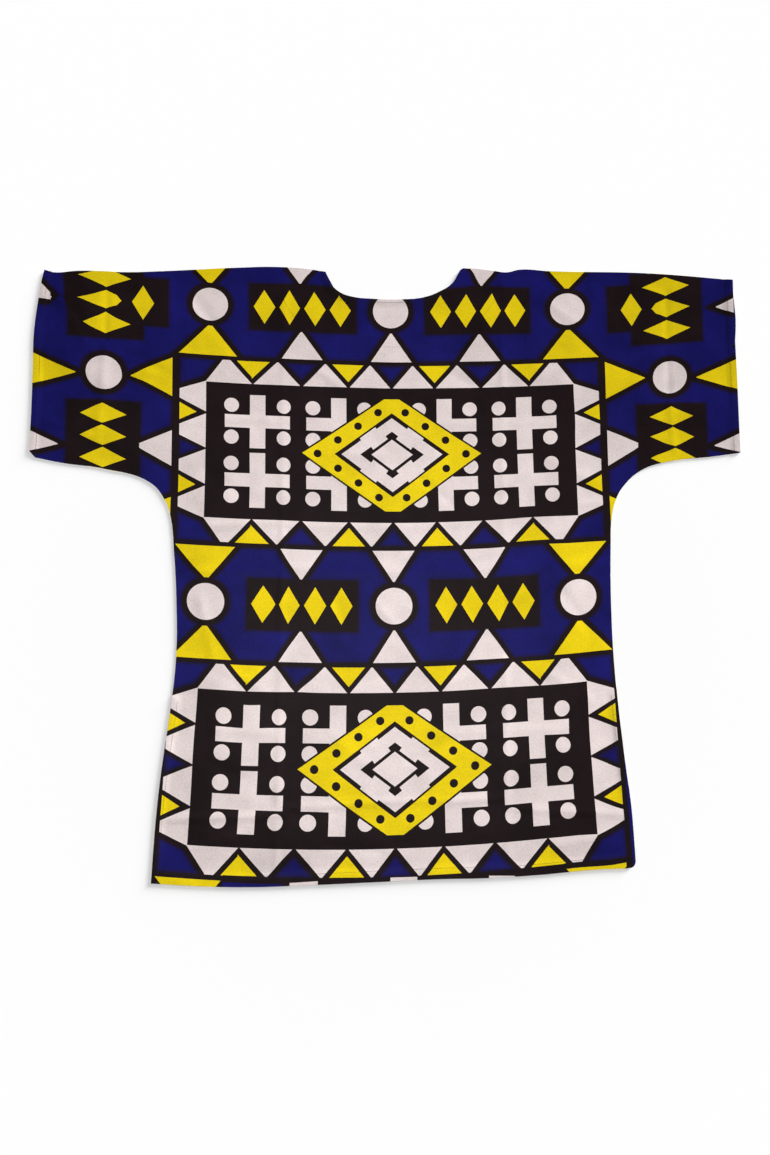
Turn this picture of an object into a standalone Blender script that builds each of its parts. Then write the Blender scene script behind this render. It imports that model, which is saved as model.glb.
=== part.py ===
"""A kimono-cut dashiki shirt laid flat: a back panel lying on a front panel.

Each panel is one piece of cloth with both short sleeves grown on. The shirt lies on its
front, so the front panel is a flat wall on the surface. The back panel is a wall that lies
just above it, and rises in soft swells and in the pressed folds of a shirt that was packed.

Tables are in millimetres, with X from sleeve to sleeve, Y from hem to neck and Z up.
Their origin is below the middle of the shirt, on the surface that it lies on.
"""

import math

import bmesh
import bpy
from mathutils import Vector
from mathutils.geometry import intersect_point_line

MM = 0.001

# Driving sizes
CLOTH_WALL = 1.2          # each panel's wall
LAYER_GAP = 0.3           # between the two panels where they lie on each other
CURVE_STEPS = 4           # straight steps between two points of an outline
EDGE_FADE = 34.0          # the back panel settles onto the front within this far of its edge
CELL_WIDTH = 19.0         # the back panel's mesh, along X
CELL_HEIGHT = 17.0        # the back panel's mesh, along Y
WELD_DISTANCE = 1.5       # mesh points nearer than this become one
SLIVER_AREA = 1.0         # a smaller face on the rim, in square millimetres, is left out
FOLD_HALF_WIDTH = 9.0     # from a pressed fold's ridge to its foot

# Outlines, in order round the shirt. "corner" breaks the curve, "round" runs through.
LEFT_SHOULDER = (
    # turn, x, y
    ("corner", -446, 372),
    ("round", -433, 368.5),
    ("round", -344, 368.5),
    ("round", -293, 372.5),
    ("round", -198, 378.5),
    ("round", -152, 379.5),
    ("round", -106, 376.3),
    ("corner", -88, 373),
)
BACK_NECK = (
    ("round", -80, 355),
    ("round", -70, 344),
    ("round", -56, 339),
    ("round", -25, 336),
    ("round", 10, 336.5),
    ("round", 40, 340),
    ("round", 61, 348.5),
    ("round", 78, 360),
    ("round", 86, 373),
)
FRONT_NECK = (
    ("corner", 1, 198),
)
RIGHT_SHOULDER = (
    ("corner", 91.5, 380.5),
    ("round", 134, 381),
    ("round", 151, 376),
    ("round", 167, 380),
    ("round", 207, 378),
    ("round", 338, 377),
    ("corner", 451, 370),
)
BACK_RIGHT_CUFF = (
    ("round", 449.3, 323),
    ("round", 445.5, 223),
    ("round", 441.7, 162),
)
FRONT_RIGHT_CUFF = (
    ("round", 451.2, 340),
    ("round", 451.4, 314),
    ("round", 445.2, 262),
    ("round", 441.0, 162),
)
RIGHT_SIDE = (
    ("corner", 441.2, 134),
    ("round", 409, 129.3),
    ("round", 343, 120),
    ("round", 312, 110),
    ("round", 288, 89.5),
    ("round", 276, 70),
    ("round", 269, 44),
    ("round", 266, 12),
    ("round", 262, -80),
    ("round", 262, -150),
    ("round", 268.3, -255),
    ("round", 272.2, -296),
)
BACK_HEM = (
    ("corner", 274.5, -368),
    ("round", 263, -371),
    ("round", 163, -374.8),
    ("round", 100, -378.6),
    ("round", -14, -380.3),
    ("round", -126, -382),
    ("round", -213, -382.5),
    ("corner", -280.6, -378),
)
FRONT_HEM = (
    ("corner", 273.5, -367),
    ("round", 163, -373.8),
    ("round", -14, -379.2),
    ("round", -213, -381.4),
    ("corner", -279.6, -377),
)
LEFT_SIDE = (
    ("round", -278, -338),
    ("round", -272.7, -250),
    ("round", -265.6, -170),
    ("round", -262.2, -119),
    ("round", -263.8, -62),
    ("round", -267.4, 0),
    ("round", -275.2, 51),
    ("round", -282, 70),
    ("round", -301.4, 91.7),
    ("round", -359, 108.6),
    ("round", -411, 116),
    ("round", -442, 123.6),
)
BACK_LEFT_CUFF = (
    ("corner", -448.2, 131),
    ("round", -449.8, 157),
    ("round", -452, 250),
    ("round", -450, 329),
    ("round", -448.5, 355),
)
FRONT_LEFT_CUFF = (
    ("corner", -447.2, 131),
    ("round", -448.8, 157),
    ("round", -451, 250),
    ("round", -448.8, 340),
)

# Folds pressed in while the shirt was packed: the two ends of each ridge.
PRESSED_FOLDS = (
    # name, x at the neck end, y, x at the hem end, y, rise
    ("left sleeve", -366.5, 400, -354.0, 90, 1.6),
    ("left body", -134.5, 400, -141.6, -400, 2.6),
    ("right body", 143.4, 400, 124.4, -400, 2.2),
    ("right sleeve", 360.5, 400, 354.5, 90, 1.8),
)
CROSS_FOLDS = (
    # name, x on the left, y, x in the middle, y, x on the right, y, rise
    ("below the chest", -290, 53, -7, 30, 290, 68, 1.5),
    ("above the hem", -290, -314, -11, -320, 290, -308, 1.3),
)

# Broad soft swells where the back panel stands a little off the front one.
SWELLS = (
    # x, y, reach along x, reach along y, rise
    (-392, 255, 40, 80, 2.2),
    (-300, 230, 60, 70, 2.6),
    (-205, 300, 70, 45, 1.6),
    (-60, 245, 90, 50, 2.0),
    (75, 285, 60, 45, 1.4),
    (215, 270, 80, 60, 2.3),
    (310, 215, 50, 75, 2.0),
    (402, 250, 36, 75, 2.4),
    (-195, 110, 70, 60, 2.2),
    (20, 120, 80, 70, 1.8),
    (200, 120, 60, 60, 2.4),
    (-205, -60, 50, 90, 2.2),
    (-40, -70, 70, 80, 2.0),
    (60, -130, 60, 90, 1.6),
    (200, -70, 55, 95, 2.5),
    (-205, -235, 55, 70, 1.9),
    (-60, -240, 80, 70, 2.3),
    (70, -255, 60, 60, 1.7),
    (200, -230, 60, 70, 2.0),
    (-120, -350, 110, 30, 1.1),
    (150, -345, 100, 28, 1.2),
)

COLOURS = {
    # panel: base colour, roughness
    "back_panel": ((0.045, 0.042, 0.21, 1.0), 0.62),
    "front_panel": ((0.62, 0.50, 0.05, 1.0), 0.70),
}


def clear_scene():
    for old in list(bpy.data.objects):
        bpy.data.objects.remove(old, do_unlink=True)
    for old in list(bpy.data.collections):
        bpy.data.collections.remove(old)


def parts_collection():
    collection = bpy.data.collections.new("dashiki_shirt")
    bpy.context.scene.collection.children.link(collection)
    return collection


def cloth_material(name):
    colour, roughness = COLOURS[name]
    material = bpy.data.materials.new(name)
    material.use_nodes = True
    shader = material.node_tree.nodes["Principled BSDF"]
    shader.inputs["Base Color"].default_value = colour
    shader.inputs["Roughness"].default_value = roughness
    shader.inputs["Metallic"].default_value = 0.0
    material.diffuse_color = colour
    return material


def outline_curve(name, rows):
    """A closed 2D curve through an outline's rows, filled on both sides."""
    curve = bpy.data.curves.new(name, "CURVE")
    curve.dimensions = "2D"
    curve.fill_mode = "BOTH"
    curve.resolution_u = CURVE_STEPS
    curve.render_resolution_u = CURVE_STEPS
    spline = curve.splines.new("BEZIER")
    spline.use_cyclic_u = True
    spline.bezier_points.add(len(rows) - 1)
    for point, (turn, x, y) in zip(spline.bezier_points, rows):
        point.co = (x * MM, y * MM, 0.0)
        handle = "VECTOR" if turn == "corner" else "AUTO"
        point.handle_left_type = handle
        point.handle_right_type = handle
    return curve


def front_panel(collection):
    """The lower panel: a flat wall on the surface."""
    rows = LEFT_SHOULDER + FRONT_NECK + RIGHT_SHOULDER + FRONT_RIGHT_CUFF
    rows += RIGHT_SIDE + FRONT_HEM + LEFT_SIDE + FRONT_LEFT_CUFF
    curve = outline_curve("front_panel", rows)
    curve.extrude = CLOTH_WALL / 2 * MM
    panel = bpy.data.objects.new("front_panel", curve)
    panel.location.z = CLOTH_WALL / 2 * MM
    panel.data.materials.append(cloth_material("front_panel"))
    collection.objects.link(panel)
    return panel


def single_face_from(curve):
    """The curve's filled area as a bmesh with one face."""
    holder = bpy.data.objects.new(curve.name, curve)
    bpy.context.scene.collection.objects.link(holder)
    evaluated = holder.evaluated_get(bpy.context.evaluated_depsgraph_get())
    filled = bpy.data.meshes.new_from_object(evaluated)
    bpy.data.objects.remove(holder, do_unlink=True)
    mesh = bmesh.new()
    mesh.from_mesh(filled)
    bpy.data.meshes.remove(filled)
    bmesh.ops.remove_doubles(mesh, verts=mesh.verts, dist=0.05 * MM)
    inner = [edge for edge in mesh.edges if len(edge.link_faces) == 2]
    bmesh.ops.dissolve_edges(mesh, edges=inner, use_verts=False)
    return mesh


def cut_along(mesh, x0, y0, x1, y1):
    """Cut the faces along the straight line through two places."""
    start = Vector((x0 * MM, y0 * MM, 0.0))
    along = Vector(((x1 - x0) * MM, (y1 - y0) * MM, 0.0))
    across = Vector((along.y, -along.x, 0.0)).normalized()
    everything = mesh.verts[:] + mesh.edges[:] + mesh.faces[:]
    bmesh.ops.bisect_plane(mesh, geom=everything, dist=1e-7, plane_co=start, plane_no=across)


def lines_between(first, last, spacing):
    """Cutting lines that turn evenly from one line to the next one."""
    gap = max(abs(first[0] - last[0]), abs(first[1] - last[1]))
    count = max(1, round(gap / spacing))
    lines = []
    for step in range(count):
        share = step / count
        near = first[0] + (last[0] - first[0]) * share
        far = first[1] + (last[1] - first[1]) * share
        lines.append((near, far))
    return lines


def cut_into_cells(mesh, rows):
    """Cut the panel into cells whose lines follow the pressed folds."""
    left, right, low, high = extent(rows)
    guides = [(left, left)]
    for name, x0, y0, x1, y1, rise in PRESSED_FOLDS:
        slope = (x1 - x0) / (y1 - y0)
        top_x = x0 + slope * (high - y0)
        low_x = x0 + slope * (low - y0)
        for side in (-FOLD_HALF_WIDTH, 0.0, FOLD_HALF_WIDTH):
            guides.append((top_x + side, low_x + side))
    guides.append((right, right))
    for first, last in zip(guides, guides[1:]):
        for top_x, low_x in lines_between(first, last, CELL_WIDTH):
            cut_along(mesh, top_x, high, low_x, low)
    for y, same_y in lines_between((low, low), (high, high), CELL_HEIGHT):
        cut_along(mesh, left, y, right, same_y)


def drop_slivers(mesh):
    """Take away the slivers that welding leaves hanging on the rim, or folded over it."""
    slivers = []
    for face in mesh.faces:
        free_edges = [edge for edge in face.edges if len(edge.link_faces) == 1]
        if len(free_edges) > 1 and face.calc_area() < SLIVER_AREA * MM * MM:
            slivers.append(face)
    bmesh.ops.delete(mesh, geom=slivers, context="FACES")


def extent(rows):
    xs = [x for turn, x, y in rows]
    ys = [y for turn, x, y in rows]
    return min(xs), max(xs), min(ys), max(ys)


def distance_to_segment(place, start, end):
    nearest, share = intersect_point_line(place, start, end)
    share = min(1.0, max(0.0, share))
    return (place - (start + (end - start) * share)).length


def smooth_step(value):
    value = min(1.0, max(0.0, value))
    return value * value * (3.0 - 2.0 * value)


def ridge(distance):
    """A pressed fold across its width: a tight top that runs out softly."""
    return math.exp(-abs(distance) / (0.6 * FOLD_HALF_WIDTH))


def lift_at(place, edges):
    """How far the back panel stands off the front one, in millimetres."""
    x, y = place.x, place.y
    swell = 0.0
    for mid_x, mid_y, reach_x, reach_y, rise in SWELLS:
        swell += rise * math.exp(-((x - mid_x) / reach_x) ** 2 - ((y - mid_y) / reach_y) ** 2)
    fold = 0.0
    for name, x0, y0, x1, y1, rise in PRESSED_FOLDS:
        distance = distance_to_segment(place, Vector((x0, y0, 0)), Vector((x1, y1, 0)))
        fold = max(fold, rise * ridge(distance))
    for name, x0, y0, x1, y1, x2, y2, rise in CROSS_FOLDS:
        middle = Vector((x1, y1, 0))
        distance = min(
            distance_to_segment(place, Vector((x0, y0, 0)), middle),
            distance_to_segment(place, middle, Vector((x2, y2, 0))),
        )
        fold = max(fold, rise * ridge(distance))
    from_edge = min(distance_to_segment(place, start, end) for start, end in edges)
    return (swell + fold) * smooth_step(from_edge / EDGE_FADE)


def back_panel(collection):
    """The upper panel: an open surface that lies in swells, made a wall by Solidify."""
    rows = LEFT_SHOULDER + BACK_NECK + RIGHT_SHOULDER + BACK_RIGHT_CUFF
    rows += RIGHT_SIDE + BACK_HEM + LEFT_SIDE + BACK_LEFT_CUFF
    mesh = single_face_from(outline_curve("back_panel", rows))
    rim = [edge for edge in mesh.edges if len(edge.link_faces) == 1]
    edges = [tuple(vert.co.copy() / MM for vert in edge.verts) for edge in rim]
    cut_into_cells(mesh, rows)
    bmesh.ops.remove_doubles(mesh, verts=mesh.verts, dist=WELD_DISTANCE * MM)
    drop_slivers(mesh)
    for vert in mesh.verts:
        vert.co.z = (CLOTH_WALL + LAYER_GAP + lift_at(vert.co / MM, edges)) * MM
    bmesh.ops.triangulate(mesh, faces=mesh.faces)
    if sum(face.normal.z for face in mesh.faces) < 0.0:
        bmesh.ops.reverse_faces(mesh, faces=mesh.faces)
    data = bpy.data.meshes.new("back_panel")
    mesh.to_mesh(data)
    mesh.free()
    panel = bpy.data.objects.new("back_panel", data)
    data.materials.append(cloth_material("back_panel"))
    collection.objects.link(panel)
    wall = panel.modifiers.new("wall", "SOLIDIFY")
    wall.thickness = CLOTH_WALL * MM
    wall.offset = 1.0
    wall.use_even_offset = True
    return panel


def main():
    clear_scene()
    collection = parts_collection()
    front_panel(collection)
    back_panel(collection)


main()
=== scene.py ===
# %% [markdown]
# # A dashiki shirt laid flat
# This lesson dresses the solids of a kimono-cut dashiki shirt. The solids give the frame: how
# large the shirt is and where its two panels lie. The lesson adds what the eye sees: two thin
# panels of printed cotton, their turned hems, the sewing, the bold geometric print, and the
# light.

import math

import bmesh
import bpy
import numpy as np
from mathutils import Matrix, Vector, noise


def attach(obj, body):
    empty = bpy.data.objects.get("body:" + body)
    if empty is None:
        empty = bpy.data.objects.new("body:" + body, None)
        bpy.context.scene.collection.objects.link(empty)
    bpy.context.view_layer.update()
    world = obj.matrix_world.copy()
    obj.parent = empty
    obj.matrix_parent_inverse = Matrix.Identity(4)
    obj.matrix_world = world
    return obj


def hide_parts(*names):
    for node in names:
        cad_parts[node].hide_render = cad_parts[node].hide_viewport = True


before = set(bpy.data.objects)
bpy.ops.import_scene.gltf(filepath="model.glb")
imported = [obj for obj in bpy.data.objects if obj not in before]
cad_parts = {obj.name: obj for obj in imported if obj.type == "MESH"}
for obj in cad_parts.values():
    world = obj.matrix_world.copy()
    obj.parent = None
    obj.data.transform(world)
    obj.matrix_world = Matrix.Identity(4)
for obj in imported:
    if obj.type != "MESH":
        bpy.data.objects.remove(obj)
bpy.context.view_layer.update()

MM = 0.001

# %% [markdown]
# ## The camera
# The shirt was seen from above by someone who stood at its hem, so the near end looks a little
# larger. A wide lens about 0.93 m above the cloth, turned nine degrees from straight down,
# gives the same view.

# %% Camera
CAMERA_PLACE = (-55.0, -178.1, 927.6)
CAMERA_TURN = (9.215, -2.442, -0.558)
CAMERA_LENS = 24.0

camera_data = bpy.data.cameras.new("camera")
camera_data.lens = CAMERA_LENS
camera_data.clip_end = 20.0
camera = bpy.data.objects.new("camera", camera_data)
camera.location = [value * MM for value in CAMERA_PLACE]
camera.rotation_euler = [math.radians(angle) for angle in CAMERA_TURN]
bpy.context.scene.collection.objects.link(camera)
bpy.context.scene.camera = camera
print("camera", CAMERA_PLACE, "mm")

# %% [markdown]
# ## The cut
# A dashiki is cut like a kimono: body and sleeves are one piece, so the outline runs from the
# hem up the side, round the underarm and out along the sleeve without an armhole. The tables
# give the outline as it lies, in millimetres. A corner breaks the curve and a round point lets
# it run through. The back has a shallow scoop neck and the front a deeper V, which is hidden.

# %% Outlines of the two panels
LEFT_SHOULDER = (
    # turn, x, y
    ("corner", -445.5, 371.2),
    ("round", -434, 368.3),
    ("round", -404, 370.8),
    ("round", -374, 370.8),
    ("round", -344, 369.8),
    ("round", -293, 372.2),
    ("round", -198, 378.5),
    ("round", -152, 380.2),
    ("round", -106, 377.3),
    ("corner", -87.4, 373.8),
)
BACK_NECK = (
    ("round", -79.2, 355.6),
    ("round", -68.9, 345.7),
    ("round", -55.6, 340.3),
    ("round", -25, 337),
    ("round", 10, 336.8),
    ("round", 40, 340.2),
    ("round", 61, 348.7),
    ("round", 77.6, 360.4),
    ("round", 85.2, 373.3),
)
FRONT_NECK = (
    ("corner", 1, 198),
)
RIGHT_SHOULDER = (
    ("round", 88.9, 379.4),
    ("round", 92.6, 381.6),
    ("round", 99, 381.9),
    ("round", 114, 381.4),
    ("round", 133, 379),
    ("round", 150, 377.3),
    ("round", 167, 381.4),
    ("round", 207, 379.8),
    ("round", 338, 378.8),
    ("corner", 452, 371),
)
BACK_RIGHT_CUFF = (
    ("round", 449.4, 323),
    ("round", 445.8, 223),
    ("round", 443.2, 162),
)
FRONT_RIGHT_CUFF = (
    ("round", 451.8, 340),
    ("round", 451.8, 314),
    ("round", 446.0, 262),
    ("round", 442.3, 162),
)
RIGHT_SIDE = (
    ("corner", 442.2, 132.5),
    ("round", 409.2, 127.8),
    ("round", 343, 119.4),
    ("round", 312.6, 109),
    ("round", 289, 88.8),
    ("round", 277, 69.6),
    ("round", 270.2, 44),
    ("round", 267.3, 12),
    ("round", 263.2, -80),
    ("round", 263.6, -150),
    ("round", 269.8, -255),
    ("round", 273.4, -296),
    ("round", 274.9, -348),
    ("round", 275, -358),
)
BACK_HEM = (
    ("round", 274.6, -366.0),
    ("round", 271.6, -370.2),
    ("round", 266, -371.4),
    ("round", 250, -371.9),
    ("round", 230, -372.3),
    ("round", 158, -377.2),
    ("round", 100, -379.4),
    ("round", 45, -379.5),
    ("round", -14, -381),
    ("round", -126, -383.7),
    ("round", -170, -384.1),
    ("round", -225, -382.2),
    ("corner", -282.4, -378),
)
FRONT_HEM = (
    ("round", 273.6, -363),
    ("round", 270.4, -369),
    ("round", 265, -370.3),
    ("round", 250, -370.8),
    ("round", 230, -371.2),
    ("round", 158, -376),
    ("round", 45, -378.4),
    ("round", -14, -380),
    ("round", -213, -381.5),
    ("corner", -281.4, -377),
)
LEFT_SIDE = (
    ("round", -281, -340),
    ("round", -279.6, -309),
    ("round", -274.8, -250),
    ("round", -266.4, -175),
    ("round", -262.8, -119),
    ("round", -264.4, -62),
    ("round", -269.2, 0),
    ("round", -276, 51),
    ("round", -283.2, 69.4),
    ("round", -302, 91.2),
    ("round", -359, 108.6),
    ("round", -411, 116.1),
    ("corner", -442.4, 122.6),
)
BACK_LEFT_CUFF = (
    ("corner", -449.8, 130.8),
    ("round", -449.8, 157),
    ("round", -451.8, 240),
    ("round", -453.4, 282),
    ("round", -450.8, 329),
    ("round", -448.3, 355),
)
FRONT_LEFT_CUFF = (
    ("corner", -448, 131),
    ("round", -448.8, 157),
    ("round", -451, 240),
    ("round", -452.4, 282),
    ("round", -449.6, 329),
)

BACK_RUNS = {
    "left shoulder": LEFT_SHOULDER,
    "neck": BACK_NECK,
    "right shoulder": RIGHT_SHOULDER,
    "right cuff": BACK_RIGHT_CUFF,
    "right side": RIGHT_SIDE,
    "hem": BACK_HEM,
    "left side": LEFT_SIDE,
    "left cuff": BACK_LEFT_CUFF,
}
FRONT_RUNS = dict(BACK_RUNS)
FRONT_RUNS["neck"] = FRONT_NECK
FRONT_RUNS["right cuff"] = FRONT_RIGHT_CUFF
FRONT_RUNS["hem"] = FRONT_HEM
FRONT_RUNS["left cuff"] = FRONT_LEFT_CUFF

CURVE_STEPS = 10


def outline_curve(name, rows, closed=True):
    """A 2D curve through an outline's rows, in metres."""
    curve = bpy.data.curves.new(name, "CURVE")
    curve.dimensions = "2D"
    curve.fill_mode = "BOTH" if closed else "NONE"
    curve.resolution_u = CURVE_STEPS
    spline = curve.splines.new("BEZIER")
    spline.use_cyclic_u = closed
    spline.bezier_points.add(len(rows) - 1)
    for point, (turn, x, y) in zip(spline.bezier_points, rows):
        point.co = (x * MM, y * MM, 0.0)
        handle = "VECTOR" if turn == "corner" else "AUTO"
        point.handle_left_type = handle
        point.handle_right_type = handle
    return curve


def mesh_of(curve):
    """The curve as a plain mesh, and no object left behind."""
    holder = bpy.data.objects.new(curve.name, curve)
    bpy.context.scene.collection.objects.link(holder)
    evaluated = holder.evaluated_get(bpy.context.evaluated_depsgraph_get())
    made = bpy.data.meshes.new_from_object(evaluated)
    bpy.data.objects.remove(holder, do_unlink=True)
    return made


def flat_points(mesh):
    """A mesh's points seen from above, in millimetres."""
    points = np.empty(len(mesh.vertices) * 3)
    mesh.vertices.foreach_get("co", points)
    return points.reshape(-1, 3)[:, :2] / MM


def open_line(name, rows):
    """The points of an open line through some rows."""
    return flat_points(mesh_of(outline_curve(name, rows, closed=False)))


def run_line(runs, name):
    """The points of one run of an outline, up to the next run's first corner, in millimetres."""
    names = list(runs)
    place = names.index(name)
    before = runs[names[place - 1]]
    after = runs[names[(place + 1) % len(names)]]
    rows = list(runs[name])
    one_corner = len(rows) == 1
    if one_corner or rows[0][0] == "round":
        rows.insert(0, ("corner", *before[-1][1:]))
    if one_corner or rows[-1][0] == "round":
        rows.append(("corner", *after[0][1:]))
    return open_line(name, rows)


print("the back's outline has", sum(len(rows) for rows in BACK_RUNS.values()), "points")

# %% [markdown]
# ## How the cloth lies
# Printed cotton is crisp. It keeps the folds that were pressed in while the shirt was packed:
# two down the body, one down each sleeve, and several across. Between them it stands off the
# table in broad, shallow swells. One function gives the height of the upper panel anywhere, so
# the cloth, its hems and its stitches all agree.

# %% Folds, creases and swells
CREASES = (
    # x, y at one end, x, y at the other, half-width, rise (a groove where it is less than 0)
    # left body
    (-141, 372, -140, 292, 4.0, 0.38),
    (-140, 292, -140, 198, 4.0, 0.38),
    (-140, 198, -139, 107, 3.5, 0.60),
    (-139, 107, -139, 50, 3.5, 0.60),
    (-139, 50, -139, -6, 3.0, 0.90),
    (-139, -6, -139, -55, 3.0, 0.90),
    (-139, -55, -139, -127, 4.0, 0.52),
    (-139, -127, -140, -174, 4.0, 0.52),
    (-140, -174, -140, -244, 3.5, 0.75),
    (-140, -244, -141, -289, 3.5, 0.75),
    (-141, -289, -142, -344, 3.0, 0.52),
    (-142, -344, -142, -381, 3.0, 0.52),
    # right body
    (144, 373, 140, 282, 4.0, 0.45),
    (140, 282, 137, 160, 3.5, 0.68),
    (137, 160, 134, 69, 3.5, 0.68),
    (134, 69, 132, -32, 4.0, 0.45),
    (132, -32, 130, -129, 4.0, -0.45),
    (130, -129, 127, -235, 3.5, 0.75),
    (127, -235, 126, -293, 3.5, 0.75),
    (126, -293, 125, -375, 3.5, 0.52),
    # left sleeve
    (-367, 369, -365, 323, 4.0, -0.68),
    (-366, 323, -364, 269, 3.0, -0.45),
    (-364, 269, -364, 216, 5.0, 0.52),
    (-364, 216, -368, 144, 5.0, 0.45),
    # right sleeve
    (362, 372, 356, 277, 3.5, -0.68),
    (356, 277, 354, 209, 3.0, -0.83),
    (354, 209, 356, 135, 4.0, 0.75),
    # above the hem, left
    (-283, -309, -229, -307, 4.0, 0.94),
    (-229, -307, -159, -307, 4.0, 0.94),
    (-159, -307, -133, -304, 4.0, 0.94),
    # above the hem, middle
    (-133, -298, -69, -296, 3.5, 0.75),
    (-69, -296, -9, -292, 3.5, 0.95),
    (-9, -292, 59, -293, 3.5, 0.70),
    (59, -293, 125, -290, 3.5, 0.85),
    # above the hem, right
    (125, -302, 188, -306, 4.0, 0.77),
    (188, -306, 233, -309, 4.0, 0.77),
    (233, -309, 271, -312, 4.0, 0.77),
    # below the chest, left
    (-268, 35, -227, 36, 4.0, 0.75),
    (-227, 36, -179, 38, 4.0, 0.75),
    (-179, 38, -137, 40, 4.0, 0.75),
    # below the chest, middle
    (-137, 37, -57, 34, 4.5, 0.42),
    (-57, 34, 30, 35, 4.5, 0.42),
    (30, 35, 133, 45, 4.5, 0.42),
    # below the chest, right
    (133, 49, 175, 54, 4.0, 0.60),
    (175, 54, 232, 64, 4.0, 0.60),
    (232, 64, 272, 69, 4.0, 0.60),
    # across the chest, left
    (-260, 166, -210, 173, 4.5, 0.45),
    (-210, 173, -131, 170, 4.5, 0.45),
    # across the chest, right
    (57, 168, 134, 169, 4.5, 0.42),
    (134, 169, 207, 169, 4.5, 0.42),
    (207, 169, 262, 174, 4.5, 0.42),
    # across the waist
    (-259, -20, -117, -18, 6.0, 0.60),
    (-117, -18, -6, -23, 6.0, 0.60),
    (-6, -23, 103, -19, 6.0, 0.60),
    (103, -19, 260, -11, 6.0, 0.60),
    # lower field, left
    (-244, -206, -186, -210, 5.0, 0.38),
    (-186, -210, -136, -213, 5.0, 0.38),
    # lower field, right
    (49, -215, 127, -215, 5.0, 0.38),
    (127, -215, 211, -210, 5.0, 0.38),
    # through the rhombus
    (-56, 127, -4, 124, 6.0, 0.45),
    (-4, 124, 51, 127, 6.0, 0.45),
    # short soft ones between them
    (-423, 329, -380, 260, 6.0, 0.50),
    (-432, 170, -374, 150, 5.0, 0.50),
    (-345, 263, -288, 234, 6.0, -0.50),
    (259, 360, 305, 277, 7.0, 0.50),
    (320, 267, 401, 285, 6.0, -0.44),
    (380, 189, 423, 154, 5.0, 0.50),
    (-253, 332, -205, 262, 7.0, -0.60),
    (-94, 236, -54, 205, 5.0, 0.50),
    (46, 253, 97, 221, 6.0, -0.50),
    (199, 338, 249, 297, 7.0, 0.50),
    (-235, 107, -184, 71, 6.0, -0.50),
    (-81, 107, -29, 69, 6.0, 0.50),
    (31, 95, 74, 61, 5.0, -0.50),
    (183, 128, 245, 95, 6.0, 0.50),
    (-236, -55, -218, -127, 6.0, 0.60),
    (-81, -44, -54, -104, 6.0, -0.50),
    (-30, -56, 3, -93, 5.0, 0.60),
    (71, -32, 88, -105, 6.0, 0.50),
    (201, -45, 235, -94, 7.0, -0.60),
    (-205, -136, -161, -163, 6.0, 0.60),
    (-81, -163, -7, -147, 6.0, -0.50),
    (41, -164, 87, -148, 5.0, 0.50),
    (178, -144, 231, -178, 6.0, 0.60),
    (-225, -242, -178, -266, 6.0, -0.50),
    (-69, -224, -32, -256, 6.0, 0.50),
    (13, -246, 63, -225, 6.0, -0.60),
    (143, -253, 192, -234, 6.0, 0.50),
    (-245, -342, -195, -330, 5.0, 0.50),
    (-80, -341, -23, -348, 5.0, -0.44),
    (187, -345, 239, -335, 5.0, 0.50),
)
SWELLS = (
    # x, y, reach along x, reach along y, rise
    (-392, 255, 40, 80, 1.4),
    (-300, 230, 60, 70, 1.7),
    (-205, 300, 70, 45, 1.0),
    (-60, 245, 90, 50, 1.3),
    (75, 285, 60, 45, 0.9),
    (215, 270, 80, 60, 1.5),
    (310, 215, 50, 75, 1.3),
    (402, 250, 36, 75, 1.5),
    (-195, 110, 70, 60, 1.4),
    (20, 120, 80, 70, 1.1),
    (200, 120, 60, 60, 1.6),
    (-205, -60, 50, 90, 1.4),
    (-40, -70, 70, 80, 1.3),
    (60, -130, 60, 90, 1.0),
    (200, -70, 55, 95, 1.6),
    (-205, -235, 55, 70, 1.2),
    (-60, -240, 80, 70, 1.5),
    (70, -255, 60, 60, 1.1),
    (200, -230, 60, 70, 1.3),
    (-120, -350, 110, 30, 0.6),
    (150, -345, 100, 28, 0.6),
)
EDGE_FADE = 55.0
RUMPLES = (
    # waves in a millimetre, rise
    (0.040, 0.26),
    (0.105, 0.09),
)
CLOTH = 0.5               # thickness of one layer
HEM_CLOTH = 1.0           # where the edge is turned in and lies double
SEAM_TOP = 1.5            # top of the upper panel at a sewn edge
HEM_TOP = 2.4             # and at an open, hemmed edge
PANEL_TOP = 2.7           # and away from the edges, where the solid's top is
CUFF_HEM = 9.0
BOTTOM_HEM = 13.0
VENT_HEM = 8.0
VENT_TOP = -172.0
NECK_STITCH = 4.0
HEM_STEP = 2.5            # width of the soft step from a hem to single cloth
BODY_RISE = 70.0          # the panel reaches its full height this far from its edge
CREASE_FADE = 14.0        # creases and rumples reach theirs this far from it
UNDER_CREASES = 0.6       # the under panel's share of each crease
UNDER_LIFT = 0.12
UNDER_MOST = 0.45


def distance_to_line(places, line):
    """Each place's distance to the nearest stretch of a line of points."""
    nearest = np.full(len(places), 1e9)
    for start, end in zip(line[:-1], line[1:]):
        along = end - start
        length = float(along @ along)
        if length < 1e-9:
            continue
        share = np.clip((places - start) @ along / length, 0.0, 1.0)
        gap = places - start - share[:, None] * along
        nearest = np.minimum(nearest, np.hypot(gap[:, 0], gap[:, 1]))
    return nearest


def smooth(value):
    value = np.clip(value, 0.0, 1.0)
    return value * value * (3.0 - 2.0 * value)


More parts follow.
